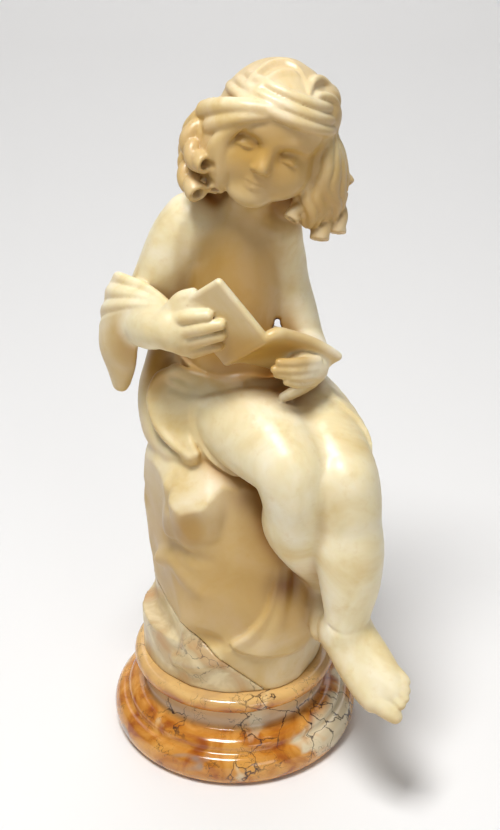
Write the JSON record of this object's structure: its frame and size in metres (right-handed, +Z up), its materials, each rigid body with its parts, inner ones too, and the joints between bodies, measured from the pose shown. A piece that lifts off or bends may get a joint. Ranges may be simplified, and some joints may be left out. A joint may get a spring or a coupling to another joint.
{
  "type": "seated child statue",
  "caption": "Carved stone child in kerchief and curls, seated on a rock and reading an open book, on a round turned plinth.",
  "frame": {"origin": "middle of the plinth's flat underside, on the plinth's turning axis", "axes": "+Z up along the plinth's turning axis; the child faces -Y, with the child's left side towards +X"},
  "size_m": [0.2544, 0.2653, 0.6139],
  "materials": {
    "alabaster": "cream alabaster, carved and polished, stained ochre in its recesses",
    "veined_stone": "pinkish grey veined alabaster, carved and polished",
    "marble": "turned yellow and orange marble with dark veins, polished"
  },
  "bodies": {
    "root": {"figure": "alabaster", "rock_wedge": "veined_stone", "plinth": "marble"}
  },
  "joints": []
}
